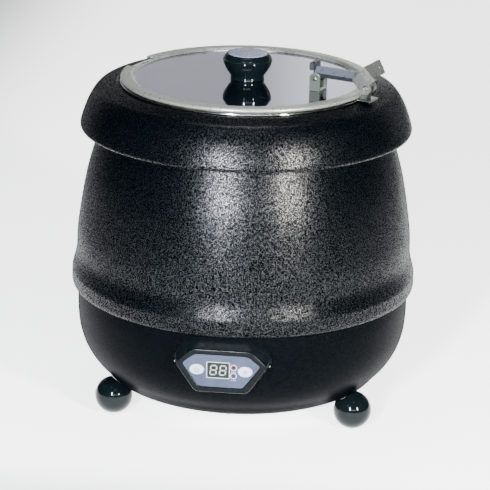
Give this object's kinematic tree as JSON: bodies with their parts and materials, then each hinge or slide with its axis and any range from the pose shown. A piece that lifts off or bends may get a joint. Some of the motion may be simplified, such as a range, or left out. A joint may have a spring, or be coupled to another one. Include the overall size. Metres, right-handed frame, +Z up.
{
  "type": "soup kettle",
  "caption": "Free-standing electric soup kettle: black bowl-shaped casing on ball feet, heated water pan, lift-out soup pot and a stainless lid on a hinge arm.",
  "frame": {"origin": "on the floor, on the axis of the round casing", "axes": "+Z up, -Y out through the control panel"},
  "size_m": [0.342, 0.345, 0.3628],
  "materials": {
    "textured_black": "fine hammered black powder coat",
    "gloss_black": "gloss",
    "satin_black": "satin",
    "polished_steel": "mirror polished stainless steel",
    "brushed_steel": "brushed",
    "zinc": "zinc plated",
    "label_blue": "satin printed film",
    "button_white": "satin",
    "grey_plastic": "satin",
    "display_window": "gloss tinted",
    "lens_clear": "gloss",
    "board_green": "solder mask",
    "rubber_black": "matte"
  },
  "bodies": {
    "housing": {"lower_shell": "textured_black", "upper_shell": "textured_black", "collar": "textured_black", "collar_seal": "rubber_black", "base_plate": "zinc", "water_pan": "brushed_steel", "heating_ring": "zinc", "heater_plate": "zinc", "temperature_sensor": "brushed_steel", "thermal_cutout": "satin_black", "terminal_block": "grey_plastic", "earth_stud": "zinc", "cord_gland": "satin_black", "cord_gland_nut": "satin_black", "tie_bolt_1": "zinc", "tie_nut_1": "zinc", "base_screw_1": "zinc", "foot_stud_1": "zinc", "foot_nut_1": "zinc", "foot_ball_1": "gloss_black", "tie_bolt_2": "zinc", "tie_nut_2": "zinc", "base_screw_2": "zinc", "foot_stud_2": "zinc", "foot_nut_2": "zinc", "foot_ball_2": "gloss_black", "tie_bolt_3": "zinc", "tie_nut_3": "zinc", "base_screw_3": "zinc", "foot_stud_3": "zinc", "foot_nut_3": "zinc", "foot_ball_3": "gloss_black", "control_housing": "satin_black", "control_label": "label_blue", "display_window": "display_window", "display_module": "satin_black", "control_board": "board_green", "indicator_lens_1": "lens_clear", "tact_switch_1": "satin_black", "board_screw_1": "zinc", "panel_screw_1": "zinc", "indicator_lens_2": "lens_clear", "tact_switch_2": "satin_black", "board_screw_2": "zinc", "panel_screw_2": "zinc"},
    "pot": {"soup_pot": "polished_steel", "rim_clip": "polished_steel", "outer_pin": "brushed_steel"},
    "arm": {"hinge_arm": "polished_steel", "arm_bumper": "rubber_black"},
    "lid": {"lid_panel": "polished_steel", "lid_bracket": "polished_steel", "lid_rivet_1": "polished_steel", "lid_rivet_2": "polished_steel", "inner_pin": "brushed_steel", "knob": "gloss_black", "knob_insert": "grey_plastic", "knob_screw": "zinc"},
    "power_button": {"power_button": "button_white"},
    "set_button": {"set_button": "button_white"}
  },
  "joints": [
    {"name": "pot_lift", "type": "slide", "parent": "housing", "child": "pot", "axis": [0, 0, 1], "range_m": [0, 0.25]},
    {"name": "arm_pivot", "type": "hinge", "parent": "pot", "child": "arm", "pos_m": [0.121, -0.04889, 0.3416], "axis": [0.3746, 0.9272, 0], "range_deg": [0, 85]},
    {"name": "lid_pivot", "type": "hinge", "parent": "arm", "child": "lid", "pos_m": [0.07186, -0.02903, 0.344], "axis": [0.3746, 0.9272, 0], "range_deg": [0, 12.75]},
    {"name": "power_button_press", "type": "slide", "parent": "housing", "child": "power_button", "axis": [0, 1, 0], "range_m": [0, 0.0006], "stiffness_N_per_m": 1500},
    {"name": "set_button_press", "type": "slide", "parent": "housing", "child": "set_button", "axis": [0, 1, 0], "range_m": [0, 0.0006], "stiffness_N_per_m": 1500}
  ],
  "couplings": [
    {"joint": "lid_pivot", "follows": "arm_pivot", "ratio": 0.15}
  ]
}
